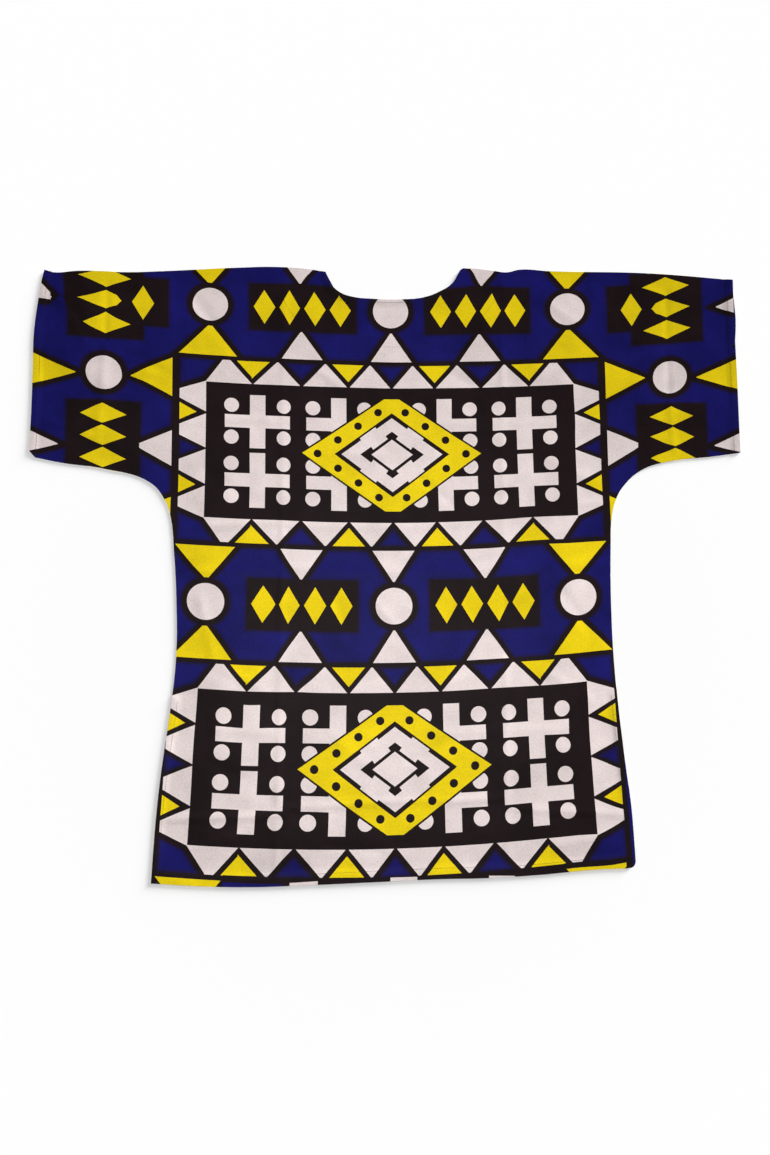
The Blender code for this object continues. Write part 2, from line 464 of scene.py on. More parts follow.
class Panel:
    """One panel's outline, and how far each place on it is from its edges."""

    def __init__(self, runs):
        self.runs = runs
        self.rows = [row for rows in runs.values() for row in rows]
        self.lines = {name: run_line(runs, name) for name in runs}
        self.loop = np.vstack([self.lines[name] for name in runs])

    def from_edge(self, places):
        return distance_to_line(places, self.loop)

    def from_run(self, places, name):
        return distance_to_line(places, self.lines[name])

    def from_vent(self, places):
        sides = []
        for name in ("left side", "right side"):
            line = self.lines[name]
            sides.append(distance_to_line(places, line[line[:, 1] < VENT_TOP]))
        return np.minimum(*sides)

    def hemmed(self, places):
        """1 on the turned hems, 0 on single cloth, with a soft step between."""
        cuffs = np.minimum(self.from_run(places, "left cuff"), self.from_run(places, "right cuff"))
        edges = (
            cuffs - CUFF_HEM,
            self.from_run(places, "hem") - BOTTOM_HEM,
            self.from_vent(places) - VENT_HEM,
            self.from_run(places, "neck") - NECK_STITCH - 2.0,
        )
        return 1.0 - smooth(np.minimum.reduce(edges) / HEM_STEP + 0.5)


def creases(places):
    """The narrow ridges and grooves. Where two meet, the deeper one counts."""
    total = np.zeros(len(places))
    for x0, y0, x1, y1, half_width, rise in CREASES:
        line = np.array([(x0, y0), (x1, y1)], float)
        part = rise * np.exp(-(distance_to_line(places, line) / half_width) ** 2)
        total = np.where(np.abs(part) > np.abs(total), part, total)
    return total


def rumples(places):
    """The faint all-over unevenness of cotton that has been packed and worn."""
    total = np.zeros(len(places))
    for waves, rise in RUMPLES:
        spots = (Vector((x * waves, y * waves, 0.0)) for x, y in places.tolist())
        total += rise * np.array([noise.noise(spot) for spot in spots])
    return total


def bell(places, mid_x, mid_y, reach_x, reach_y):
    """1 at the middle, and smoothly down to 0 past the reach."""
    x = (places[:, 0] - mid_x) / reach_x
    y = (places[:, 1] - mid_y) / reach_y
    return np.exp(-x * x - y * y)


def swells(places):
    """The broad, shallow swells where the cloth stands off the table."""
    total = np.zeros(len(places))
    for mid_x, mid_y, reach_x, reach_y, rise in SWELLS:
        total += rise * bell(places, mid_x, mid_y, reach_x, reach_y)
    return total


def back_top(places):
    """The height of the back panel's upper face at each place."""
    from_edge = back.from_edge(places)
    inner = (PANEL_TOP - SEAM_TOP) * smooth(from_edge / BODY_RISE)
    hem = (HEM_TOP - SEAM_TOP) * back.hemmed(places)
    broad = swells(places) * smooth(from_edge / EDGE_FADE)
    fine = (creases(places) + rumples(places)) * smooth(from_edge / CREASE_FADE)
    return SEAM_TOP + np.maximum(np.maximum(inner, hem) + broad + fine, 0.0)


def front_bottom(places):
    """The height of the front panel's lower face: flat on the table, but for its folds."""
    fine = UNDER_CREASES * creases(places) + rumples(places) + UNDER_LIFT
    return np.clip(fine, 0.0, UNDER_MOST) * smooth(front.from_edge(places) / CREASE_FADE)


back = Panel(BACK_RUNS)
front = Panel(FRONT_RUNS)
print("the back's neckline is", round(np.ptp(back.lines["neck"][:, 0])), "mm wide")

# %% [markdown]
# ## The print
# The print is the samakaka of south-west Angola: a black field of white crosses and dots with
# a yellow rhombus on it, a border of triangles, and blue bands and strips of circles,
# triangles and black boxes of yellow rhombi. It is printed in a repeat that mirrors both ways
# about each rhombus, so the pattern is drawn for one quarter of a repeat and folded out.
# The cloth was laid by hand, so the rows of the print bow and fan a little. This function
# turns a place on the shirt into a place on the print, both in millimetres.

# %% From the shirt to the print
PRINT_MIDDLE = (-3.3, 127.3)
ROW_BOW = -1.41
ROW_TILT = -0.24
COLUMN_FAN = -0.52
COLUMN_BELL = -0.21
COLUMN_BOW = 0.055
ROW_FAN = 0.24
ROW_SPREAD = -0.29
ROW_BELL = 0.12
ROW_SKEW = -0.09
COLUMN_SCALE = 100.49
ROW_SCALE = 100.3
FOLD_REACH = 14.0         # a fold takes up cloth this far to each side
LONG_FOLDS = (
    # the folds pressed in from shoulder to hem: x, y at the top, x, y at the bottom
    (-366.5, 400, -354.0, 90),
    (-134.5, 400, -141.6, -400),
    (143.4, 400, 124.4, -400),
    (360.5, 400, 354.5, 90),
)
FOLD_TAKE_UP = 0.10       # cloth hidden by the slope of a fold
PULLS = (
    # where the cloth was tugged out of line by hand:
    # x, y, reach along x, reach along y, and how far across and along the print
    (-40, -290, 230, 110, 0.6, 0.0),
    (-255, -330, 30, 120, 1.9, 0.0),
    (-160, -350, 55, 50, 1.9, 0.0),
    (200, -250, 35, 90, 1.4, 0.8),
    (248, -335, 28, 80, 0.0, 2.9),
    (-190, -215, 40, 45, 0.0, 1.5),
    (175, 25, 45, 45, -0.6, -2.0),
    (165, 90, 50, 40, 0.0, -0.7),
    (290, 155, 40, 35, 0.0, -2.6),
    (-390, 290, 45, 35, 1.0, 2.6),
    (10, 85, 60, 70, 0.0, 0.9),
    (-5, 260, 50, 50, 0.0, 1.1),
    (-145, 110, 35, 100, 0.0, -0.9),
    (70, 150, 80, 70, 1.0, 0.0),
    (245, -20, 22, 90, -0.9, -0.8),
    (140, 230, 80, 22, -1.1, 0.0),
    (-250, 10, 18, 60, 1.6, 0.0),
    (-195, 85, 25, 30, -1.0, 0.0),
    (-110, 30, 35, 30, 1.0, 0.0),
    (118, 352, 30, 20, -2.5, -2.5),
    (-130, 342, 35, 18, 0.0, -1.8),
    (-420, 368, 22, 24, 6.5, 0.0),
    (-410, 336, 16, 12, 5.0, 0.0),
    (-396, 300, 11, 12, -4.0, 0.0),
    (-362, 318, 16, 8, 0.0, -2.3),
    (-331, 231, 16, 12, 0.0, 2.9),
    (326, 138, 14, 20, 0.0, -2.8),
    (97, 377, 14, 12, -10.0, -2.0),
    (130, 378, 14, 12, -3.0, 0.0),
    (112, 364, 24, 14, -2.0, -2.0),
    (-100, 362, 16, 16, 2.8, -0.4),
    (-122, 364, 16, 14, 0.6, -2.4),
    (-66, 346, 12, 13, 1.5, 3.6),
    (-120, -160, 17, 24, 4.0, -0.6),
    (-150, -57, 12, 26, -2.0, -0.4),
    (-370, 172, 13, 45, 3.0, 0.0),
    (264, -255, 18, 40, 0.0, 2.6),
    (206, -222, 22, 26, 1.4, 1.0),
    (234, 178, 24, 26, -1.2, -1.5),
    (120, -150, 42, 22, -1.2, -1.1),
    (-195, -143, 22, 22, 1.3, 0.0),
    (-176, -190, 18, 20, 0.0, 1.5),
    (-249, -225, 18, 40, 1.3, 0.0),
    (-246, 330, 20, 18, -0.9, 1.3),
    (364, 132, 14, 36, -5.0, 0.0),
    (116, -289, 26, 22, 1.5, 0.3),
    (-60, -305, 30, 26, -1.0, 1.2),
)


def on_print(places):
    """Where a place on the shirt falls on the print."""
    x = (places[:, 0] - PRINT_MIDDLE[0]) / 100.0
    y = (places[:, 1] - PRINT_MIDDLE[1]) / 100.0
    across = COLUMN_SCALE * x + COLUMN_BOW * y * y
    across += COLUMN_FAN * x * y + COLUMN_BELL * x * y * y
    along = ROW_SCALE * y + ROW_TILT * x + ROW_BOW * x * x
    along += ROW_FAN * x * y + ROW_SPREAD * y * y + ROW_BELL * x * x * y + ROW_SKEW * y ** 3
    for x0, y0, x1, y1 in LONG_FOLDS:
        share = (places[:, 1] - y0) / (y1 - y0)
        beside = places[:, 0] - (x0 + (x1 - x0) * share)
        across += FOLD_TAKE_UP * beside * np.exp(-(beside / FOLD_REACH) ** 2)
    for mid_x, mid_y, reach_x, reach_y, shift_across, shift_along in PULLS:
        near = bell(places, mid_x, mid_y, reach_x, reach_y)
        across += shift_across * near
        along += shift_along * near
    return np.column_stack([across, along])


# %% [markdown]
# ## Cutting the panels
# Each panel starts as its filled outline, one single face. Two narrow rings are inset along
# the edge, so that the edge can be shaped, and the rest is cut into small square cells, which
# can follow the folds. Then every point gets its height, and Solidify gives the sheet its
# thickness: one layer of cotton, and two where a hem is turned in.

# %% Cloth from an outline
CELL = 4.2                # the front panel's cells, in millimetres
FINE_CELL = 3.4           # and the shown back panel's
EDGE_RINGS = (0.9, 1.8)
OUTLINE_WELD = 0.05
CELL_WELD = 0.25
SMOOTH_ANGLE = 50


def cut_cells(mesh, axis, low, high, cell):
    """Cut all faces by evenly spaced lines across one axis, from the low end to the high end."""
    ahead = mesh.faces[:]
    normal = (1.0, 0.0, 0.0) if axis == 0 else (0.0, 1.0, 0.0)
    count = round((high - low) / cell)
    for step in range(1, count):
        line = (low + (high - low) * step / count) * MM
        place = [0.0, 0.0, 0.0]
        place[axis] = line
        around = set(ahead)
        for face in ahead:
            around.update(face.edges)
            around.update(face.verts)
        cut = bmesh.ops.bisect_plane(
            mesh, geom=list(around), dist=1e-7, plane_co=place, plane_no=normal
        )
        faces = [part for part in cut["geom"] if isinstance(part, bmesh.types.BMFace)]
        ahead = [face for face in faces if max(v.co[axis] for v in face.verts) > line + 1e-6]


def cut_panel(name, panel, cell):
    """The panel's outline as a fine flat mesh."""
    filled = mesh_of(outline_curve(name, panel.rows))
    mesh = bmesh.new()
    mesh.from_mesh(filled)
    bpy.data.meshes.remove(filled)
    bmesh.ops.remove_doubles(mesh, verts=mesh.verts, dist=OUTLINE_WELD * MM)
    inner = [edge for edge in mesh.edges if len(edge.link_faces) == 2]
    bmesh.ops.dissolve_edges(mesh, edges=inner, use_verts=False)
    for ring in EDGE_RINGS:
        widest = max(mesh.faces, key=lambda face: face.calc_area())
        bmesh.ops.inset_region(
            mesh, faces=[widest], thickness=ring * MM, use_boundary=True, use_even_offset=True
        )
    low, high = panel.loop.min(axis=0), panel.loop.max(axis=0)
    cut_cells(mesh, 0, low[0], high[0], cell)
    cut_cells(mesh, 1, low[1], high[1], cell)
    bmesh.ops.remove_doubles(mesh, verts=mesh.verts, dist=CELL_WELD * MM)
    if sum(face.normal.z for face in mesh.faces) < 0.0:
        bmesh.ops.reverse_faces(mesh, faces=mesh.faces)
    data = bpy.data.meshes.new(name)
    mesh.to_mesh(data)
    mesh.free()
    piece = bpy.data.objects.new(name, data)
    bpy.context.scene.collection.objects.link(piece)
    return piece


def set_heights(piece, places, heights):
    points = np.column_stack([places, heights]) * MM
    piece.data.vertices.foreach_set("co", points.ravel())
    piece.data.update()


def lay_print(piece, places, shift=(0.0, 0.0)):
    """A UV map that holds places on the print, in metres, with the print shifted."""
    layer = piece.data.uv_layers.new(name="print")
    corners = np.empty(len(piece.data.loops), dtype=np.int64)
    piece.data.loops.foreach_get("vertex_index", corners)
    spots = (on_print(places) + shift)[corners] * MM
    layer.data.foreach_set("uv", spots.ravel().astype(np.float32))


def thicken(piece, hemmed, upward):
    """Solidify: one layer of cloth, and the hem's double layer where hemmed is 1."""
    group = piece.vertex_groups.new(name="hem")
    for index, weight in enumerate(hemmed):
        if weight > 0.001:
            group.add([index], float(weight), "REPLACE")
    wall = piece.modifiers.new("cloth", "SOLIDIFY")
    wall.thickness = HEM_CLOTH * MM
    wall.offset = 1.0 if upward else -1.0
    wall.vertex_group = "hem"
    wall.thickness_vertex_group = CLOTH / HEM_CLOTH
    bpy.ops.object.select_all(action="DESELECT")
    bpy.context.view_layer.objects.active = piece
    piece.select_set(True)
    bpy.ops.object.modifier_apply(modifier="cloth")
    bpy.ops.object.shade_smooth_by_angle(angle=math.radians(SMOOTH_ANGLE))
    piece.select_set(False)


# %% The back panel
back_cloth = cut_panel("back_cloth", back, FINE_CELL)
back_places = flat_points(back_cloth.data)
lay_print(back_cloth, back_places)
set_heights(back_cloth, back_places, back_top(back_places))
thicken(back_cloth, back.hemmed(back_places), upward=False)
print("back panel:", len(back_cloth.data.polygons), "faces")

# %% The front panel
# The front is cut from the next repeat, a finger's width out of line with the back.
FRONT_SHIFT = (-9.5, 366.2)

front_cloth = cut_panel("front_cloth", front, CELL)
front_places = flat_points(front_cloth.data)
lay_print(front_cloth, front_places, FRONT_SHIFT)
set_heights(front_cloth, front_places, front_bottom(front_places))
thicken(front_cloth, front.hemmed(front_places), upward=True)
print("front panel:", len(front_cloth.data.polygons), "faces")

# %% [markdown]
# ## Maths for the print
# A shader draws shapes with arithmetic on a place: a bar is where the distance from its middle
# is less than half its width. The class below lets that arithmetic be written as plain Python,
# and makes one Math node for each step. "Paint" puts one ink over another inside a shape.

# %% A number that flows through nodes
class Flow:
    """A node socket that can be calculated with."""

    def __init__(self, tree, socket):
        self.tree = tree
        self.socket = socket

    def step(self, operation, *others):
        node = self.tree.nodes.new("ShaderNodeMath")
        node.operation = operation
        for slot, value in zip(node.inputs, (self, *others)):
            if isinstance(value, Flow):
                self.tree.links.new(value.socket, slot)
            else:
                slot.default_value = value
        return Flow(self.tree, node.outputs[0])

    def __add__(self, other):
        return self.step("ADD", other)

    def __sub__(self, other):
        return self.step("SUBTRACT", other)

    def __mul__(self, other):
        return self.step("MULTIPLY", other)

    def __lt__(self, other):
        return self.step("LESS_THAN", other)

    def __gt__(self, other):
        return self.step("GREATER_THAN", other)

    def __and__(self, other):
        return self.step("MULTIPLY", other)

    def __or__(self, other):
        return self.step("MAXIMUM", other)

    def __invert__(self):
        return self * -1.0 + 1.0

    def __abs__(self):
        return self.step("ABSOLUTE")

    def __rsub__(self, other):
        return self * -1.0 + other

    def larger(self, other):
        return self.step("MAXIMUM", other)

    def smaller(self, other):
        return self.step("MINIMUM", other)

    def folded(self, half):
        """Distance from the nearest middle of a mirrored repeat whose half is given."""
        return self.step("WRAP", half, -half)

    def halo(self):
        """Black ink that has bled past its edge into the blue: less with distance outside it."""
        node = self.tree.nodes.new("ShaderNodeMapRange")
        node.interpolation_type = "SMOOTHSTEP"
        self.tree.links.new(self.socket, node.inputs["Value"])
        node.inputs["From Min"].default_value = BLEED[0]
        node.inputs["From Max"].default_value = BLEED[1]
        node.inputs["To Min"].default_value = BLACK
        node.inputs["To Max"].default_value = BLUE
        return Flow(self.tree, node.outputs["Result"])

    def paint(self, shape, ink):
        """This ink, with another one over it inside the shape."""
        node = self.tree.nodes.new("ShaderNodeMix")
        node.data_type = "FLOAT"
        self.tree.links.new(shape.socket, node.inputs["Factor"])
        self.tree.links.new(self.socket, node.inputs["A"])
        node.inputs["B"].default_value = ink
        return Flow(self.tree, node.outputs["Result"])


def within(across, along, radius):
    """A disc."""
    return (across * across + along * along) < radius * radius


def outside(across, along, radius):
    """How far a place lies outside a disc."""
    return (across * across + along * along).step("SQRT") - radius


def outside_box(across, half_width, along, half_height):
    """How far a place lies outside a box round the origin."""
    return (abs(across) - half_width).larger(abs(along) - half_height)


def group_with(name, inputs, outputs):
    """A node group with named sockets: each is a name and a kind."""
    tree = bpy.data.node_groups.new(name, "ShaderNodeTree")
    for title, kind in inputs:
        tree.interface.new_socket(title, in_out="INPUT", socket_type="NodeSocket" + kind)
    for title, kind in outputs:
        tree.interface.new_socket(title, in_out="OUTPUT", socket_type="NodeSocket" + kind)
    return tree, tree.nodes.new("NodeGroupInput"), tree.nodes.new("NodeGroupOutput")


# %% [markdown]
# ## Drawing one repeat
# All sizes are millimetres on the cloth. `side` and `up` are the distances from the middle of
# the yellow rhombus, folded, so they are never negative. The inks are painted one over the
# other, as a printer's screens are: blue ground, black lines, white, yellow.

# %% The print's sizes
BLUE, BLACK, WHITE, YELLOW = 0.0, 1.0, 2.0, 3.0
BLEED = (-2.5, 5.7)
REPEAT_HALF_WIDTH = 359.0
REPEAT_HALF_HEIGHT = 191.6
FIELD = (232.8, 87.6)
BORDER_INNER = (265.5, 117.6)
BORDER_OUTER = (274.6, 122.9)
BAND = 68.7
STRIP = 84.4
LINE = 5.6
STRIP_LINE = LINE * 1.1
print("the print repeats every", 2.0 * REPEAT_HALF_HEIGHT, "mm along the cloth")


def beyond_triangle(side, off, middle, tip, flat, near_slope, far_slope):
    """How far a place lies outside a triangle whose tip points at off = 0; inside is negative."""
    past = side - middle
    rise = off - tip
    return (past * -1.0 - rise * near_slope).larger(past - rise * far_slope) - flat


def rhombus(across, half_width, along, half_height):
    """Inside a rhombus round the origin."""
    return abs(across) * (1.0 / half_width) + abs(along) * (1.0 / half_height) < 1.0


# %% Bands
BAND_TRIANGLES = (
    # middle, tip, half-width of the tip, slopes of the near and far sides, ink
    (0.0, 29.7, 1.0, 0.64, 0.64, WHITE),
    (113.0, 31.8, 1.0, 0.68, 0.68, WHITE),
    (227.8, 29.4, 2.6, 0.79, 0.93, YELLOW),
)
CIRCLE = 22.4
CIRCLE_LINE = 28.8
FAR_CIRCLE = 227.8
BAND_BOX = (111.1, 67.2, 31.2)
BAND_RHOMBI = (111.9, 31.9, 13.4, 22.7)     # middle, spacing, half-width, half-height


def paint_band(ink, side, off_band):
    """The blue band: circles, triangles and black boxes of upright rhombi."""
    base = off_band < BAND
    circles = [(side, off_band), (side - FAR_CIRCLE, off_band)]
    triangles = []
    for middle, tip, flat, near_slope, far_slope, colour in BAND_TRIANGLES:
        beyond = beyond_triangle(side, off_band, middle, tip, flat, near_slope, far_slope)
        line = beyond - LINE * math.hypot(1.0, far_slope)
        ink = ink.paint((line < 0.0) & base, BLACK).larger(line.halo() & base)
        triangles.append(((beyond < 0.0) & (off_band > tip) & base, colour))
    for across, along in circles:
        line = outside(across, along, CIRCLE_LINE)
        ink = ink.paint(line < 0.0, BLACK).larger(line.halo())
    middle, half_width, half_height = BAND_BOX
    box = outside_box(side - middle, half_width, off_band, half_height)
    ink = ink.paint(box < 0.0, BLACK).larger(box.halo())
    for shape, colour in triangles:
        ink = ink.paint(shape, colour)
    for across, along in circles:
        ink = ink.paint(within(across, along, CIRCLE), WHITE)
    middle, spacing, half_width, half_height = BAND_RHOMBI
    from_middle = abs(side - middle)
    place = abs(from_middle - spacing) - spacing / 2.0
    in_row = from_middle < 2.0 * spacing
    return ink.paint(rhombus(place, half_width, off_band, half_height) & in_row, YELLOW)


# %% Strips, and where they cross the bands
STRIP_TRIANGLES = (
    # on the body's side: middle, tip, half-width of the tip, slope; the same on the cuff's side
    ("ring", 90.2, 33.0, 0.5, 0.485, 85.4, 35.0, 0.5, 0.375, YELLOW),
    ("box", -2.4, 44.5, 3.0, 0.50, -10.3, 55.5, 0.5, 0.375, WHITE),
)
STRIP_BOX = (-7.1, 45.4, 59.5)
STRIP_LEAN = 0.09         # on the cuff's side the box rises outwards
STRIP_RING = 88.8
STRIP_RHOMBI = (28.4, 28.5, 13.0)           # spacing, half-width, half-height
CROSSING_HEIGHT = 186.6


def paint_strip(ink, up, height, off_strip, outward):
    """The upright strip on the sleeve: circles, triangles and boxes of lying rhombi."""
    on_strip = (off_strip < STRIP) | outward
    ring = abs(up - STRIP_RING)
    triangles = []
    for name, m0, t0, f0, s0, m1, t1, f1, s1, colour in STRIP_TRIANGLES:
        spot = up if name == "ring" else height
        near = beyond_triangle(spot, off_strip, m0, t0, f0, s0, s0)
        far = beyond_triangle(spot, off_strip, m1, t1, f1, s1, s1)
        beyond = near + outward * (far - near)
        tip = outward * (t1 - t0) + t0
        line = beyond - STRIP_LINE
        there = on_strip & (off_strip > 20.0)
        ink = ink.paint((line < 0.0) & there, BLACK).larger(line.halo() & there)
        triangles.append(((beyond < 0.0) & (off_strip - tip > 0.0) & on_strip, colour))
    line = outside(off_strip, ring, CIRCLE_LINE)
    ink = ink.paint(line < 0.0, BLACK).larger(line.halo())
    middle, half_width, half_height = STRIP_BOX
    box_up = height + outward * off_strip * STRIP_LEAN - middle
    box = outside_box(off_strip, half_width, box_up, half_height)
    ink = ink.paint(box < 0.0, BLACK).larger(box.halo())
    for shape, colour in triangles:
        ink = ink.paint(shape, colour)
    ink = ink.paint(within(off_strip, ring, CIRCLE), WHITE)
    spacing, half_width, half_height = STRIP_RHOMBI
    place = abs(abs(box_up) - spacing) - spacing / 2.0
    in_row = abs(box_up) < 2.0 * spacing
    return ink.paint(rhombus(off_strip, half_width, place, half_height) & in_row, YELLOW)


def paint_crossing(ink, spread, above, off_strip, outward, left):
    """The black box where a strip crosses a band. above is the height over its middle."""
    out = spread - 357.3
    inside = spread - 311.3
    beyond = beyond_triangle(above, off_strip, -3.6, 64.5, 0.5, 0.43, 0.43)
    cut = (above > -7.0) & (above < spread - 422.6) | ~left
    line = beyond - STRIP_LINE
    whole = ~left & outward & (off_strip > 50.0)
    ink = ink.paint((line < 0.0) & whole, BLACK).larger(line.halo() & whole)
    torn = (-14.5 - above).larger(above - spread + 413.0)
    torn = torn.larger(49.2 - above - off_strip * 0.91)
    cuff = left & outward & (off_strip > 46.0)
    ink = ink.paint((torn < 0.0) & cuff, BLACK).larger(torn.halo() & cuff)
    tooth = (beyond < 0.0) | (left & (off_strip > 66.0))
    ink = ink.paint(outward & tooth & cut & (off_strip > 64.5), WHITE)
    large = outside_box(out, 46.4, above, 50.0)
    small = outside_box(inside + 15.5, 15.8, above - 1.6, 32.2)
    box = large.smaller(small)
    ink = ink.paint(box < 0.0, BLACK).larger(box.halo())
    spacing = 30.7
    row = (above * (1.0 / spacing)).step("ROUND")
    place = above - row * spacing
    nose = (out * -1.0 + abs(above) * 0.75 < 19.5) | (abs(row) > 0.5)
    in_row = abs(above) < 1.5 * spacing
    ink = ink.paint(rhombus(out, 31.0, place, 13.3) & nose & in_row, YELLOW)
    return ink.paint(rhombus(inside, 13.7, above, 23.2), YELLOW)


# %% Borders
TEETH = (26.6, 0.00053)   # half-pitch, and how fast the teeth widen outwards


def paint_border(ink, side, up, outward):
    """The border round the field: white triangles, with yellow and blue ones between."""
    inner = (side < BORDER_INNER[0]) & (up < BORDER_INNER[1])
    rim = (side - BORDER_OUTER[0]).larger(up - BORDER_OUTER[1])
    ink = ink.paint((rim < 0.0) & ~outward, BLACK).larger(rim.halo() & ~outward)
    rim = (BORDER_INNER[0] - side).smaller(BORDER_INNER[1] - up)

    half_pitch, widening = TEETH
    count = side * (1.0 / half_pitch) * (side * -widening + 1.0)
    from_tip = abs((count - 1.0).folded(1.0)) * 33.0
    last = side > 176.0
    from_last_tip = abs(side - 203.5) * 1.12
    tooth = up + from_tip + last * (from_last_tip - from_tip)
    teeth = inner & (side < 203.5) & (up > FIELD[1])
    yellow_turn = abs((count - 2.0).folded(2.0)) < 1.0
    ink = ink.paint(teeth & (tooth > 127.6), BLUE)
    ink = ink.larger(teeth & ((tooth - 127.6) * 0.71).smaller(rim).halo())
    ink = ink.paint(teeth & (tooth > 127.6) & yellow_turn, YELLOW)
    ink = ink.paint(teeth & (tooth < 118.6), WHITE)

    corner_top = up + (side - 212.3) * 1.40
    corner_side = up + (side - 233.0) * 0.38
    beyond = (corner_top > 117.5 + LINE * 1.72) & (corner_side > 88.5 + LINE * 1.07)
    ink = ink.paint(inner & beyond & (side > 203.5), BLUE)
    line = ((corner_top - 127.1) * 0.58).smaller((corner_side - 94.5) * 0.93).smaller(rim)
    ink = ink.larger(inner & beyond & (side > 203.5) & line.halo())
    corner = inner & (side > 203.4) & (up > FIELD[1] - 1.0) & (corner_top < 117.5)
    ink = ink.paint(corner, WHITE)

    out = side - FIELD[0]
    edge_band = inner & (out > 0.0)
    ink = ink.paint(edge_band & (abs(up - 46.9) < (out - 11.5) * 0.53), YELLOW)
    wedge = (out - 6.5) * 0.42 - up
    ink = ink.paint(edge_band & (wedge > 0.0), BLUE)
    ink = ink.larger(edge_band & (wedge > 0.0) & wedge.smaller(rim).halo())
    low_white = (up - out * 0.45 > 1.0) & (up + out * 0.48 < 45.5)
    high_white = (up - out * 0.48 > 48.0) & (up + out * 0.385 < 88.5)
    return ink.paint(edge_band & (low_white | high_white), WHITE)


# %% The field
def paint_field(ink, side, up):
    """The black field: white crosses and dots, and the yellow rhombus with its nested ones."""
    field = (side < FIELD[0]) & (up < FIELD[1])
    ink = ink.paint(field, BLACK)
    across = abs(abs(side - 117.8) - 50.8)
    along = abs(up - 38.0)
    upright = (across < 9.6) & (along < 35.0)
    arm = (across < 40.7) & (along < 8.5) & (side > 58.0)
    ink = ink.paint(field & (upright | arm | within(across - 32.5, along - 20.9, 9.2)), WHITE)

    slant = up + side * 0.704
    ink = ink.paint((slant < 82.2) & (up < 74.6), BLACK)
    ink = ink.paint((slant < 79.5) & (up < 72.8), YELLOW)
    turn = ((side - 17.3) * (1.0 / 25.5)).step("ROUND")
    dot_side = turn * 25.5 + 17.3
    dot_up = (dot_side - 94.0) * -0.718
    ink = ink.paint(within(side - dot_side, up - dot_up, 4.9) & (slant < 78.0), BLACK)

    slant = up + side * 0.75
    travel = side * 0.8 - up * 0.6
    ink = ink.paint(slant < 54.4, BLACK)
    thin = (travel > -4.7) & (travel < 20.0)
    ink = ink.paint((slant < 47.9) | ((slant < 51.6) & thin), WHITE)
    knob = (slant < 30.2) & ((travel > 15.1) | (travel < -8.1))
    ink = ink.paint((slant < 24.3) | knob, BLACK)
    return ink.paint(slant < 19.7, WHITE)


# %% Along the hem
def paint_hem(ink, across, along):
    """Along the hem the layer turned under peeps out: black, blue and small white wedges."""
    below = (along + across * across * 0.00036 + 501.3) * -1.0
    strip = (along < -500.4) & (abs(across) < 192.0)
    from_wedge = abs((across - 9.0).folded(55.5))
    ink = ink.paint(strip, BLACK)
    ink = ink.paint(strip & (across < -125.0) & (along < -507.8), BLUE)
    ink = ink.paint(strip & (below > 0.0) & (abs(across - 9.0) < 130.0) & (from_wedge < 15.1), WHITE)
    right_end = (across > 192.0) & (along < -500.0) & ((along > -506.0) | (across > 263.0))
    ink = ink.paint(right_end, BLACK)
    ink = ink.paint((across < -268.8) & (along < -470.0), BLACK)
    return ink.paint((across > 271.2) & (along < -392.0) & (along > -514.0), BLUE)


# %% Inks
INKS = {
    "blue": (0.0085, 0.0075, 0.1160),
    "black": (0.0120, 0.0062, 0.0072),
    "white": (0.800, 0.694, 0.678),
    "yellow": (0.838, 0.630, 0.0060),
}


def make_print_group():
    """The samakaka print: takes a place in metres, gives the ink's colour and how pale it is."""
    tree, start, end = group_with(
        "samakaka print",
        [("Place", "Vector")],
        [("Ink colour", "Color"), ("Pale ink", "Float")],
    )
    split = tree.nodes.new("ShaderNodeSeparateXYZ")
    tree.links.new(start.outputs["Place"], split.inputs["Vector"])
    across = Flow(tree, split.outputs["X"]) * 1000.0
    along = Flow(tree, split.outputs["Y"]) * 1000.0
    side = abs(across.folded(REPEAT_HALF_WIDTH))
    height = along.folded(REPEAT_HALF_HEIGHT)
    up = abs(height)
    off_band = abs((along - 191.4).folded(REPEAT_HALF_HEIGHT))
    off_strip = abs(side - REPEAT_HALF_WIDTH)
    outward = abs(across) > REPEAT_HALF_WIDTH

    above = (along - CROSSING_HEIGHT).folded(REPEAT_HALF_HEIGHT)
    left = across < 0.0

    ink = side * 0.0
    ink = paint_band(ink, side, off_band)
    ink = paint_strip(ink, up, height, off_strip, outward)
    ink = paint_crossing(ink, abs(across), above, off_strip, outward, left)
    ink = paint_border(ink, side, up, outward)
    ink = paint_field(ink, side, up)
    ink = paint_hem(ink, across, along)

    colour = None
    for name, share in (("black", ink), ("white", ink > 1.5), ("yellow", ink > 2.5)):
        mix = tree.nodes.new("ShaderNodeMix")
        mix.data_type = "RGBA"
        tree.links.new(share.socket, mix.inputs["Factor"])
        mix.inputs["A"].default_value = (*INKS["blue"], 1.0)
        if colour is not None:
            tree.links.new(colour, mix.inputs["A"])
        mix.inputs["B"].default_value = (*INKS[name], 1.0)
        colour = mix.outputs["Result"]
    tree.links.new(colour, end.inputs["Ink colour"])
    tree.links.new((ink > 1.5).socket, end.inputs["Pale ink"])
    print("the print takes", len(tree.nodes), "nodes")
    return tree


print_group = make_print_group()

# %% [markdown]
# ## The cloth's texture, and painted shade
# Close up, cotton is a plain weave: threads that pass over and under each other about every
# half millimetre. Further away the printed colours are faintly lighter and darker in soft
# clouds: partly dye that took up more in one place than another, and partly painted shade, the
# mottled shading of cloth that has been packed and worn. Both are groups, so each cloth can
# use them.

# %% Weave, dye and painted shade
THREAD = 0.00045
# clouds of dye and of painted mottled shade, from broad to fine
DYE_AND_SHADE_CLOUDS = (
    # clouds in a metre, share
    (9.0, 0.5),
    (24.0, 0.9),
    (60.0, 0.35),
    (420.0, 0.9),
    (900.0, 0.7),
)


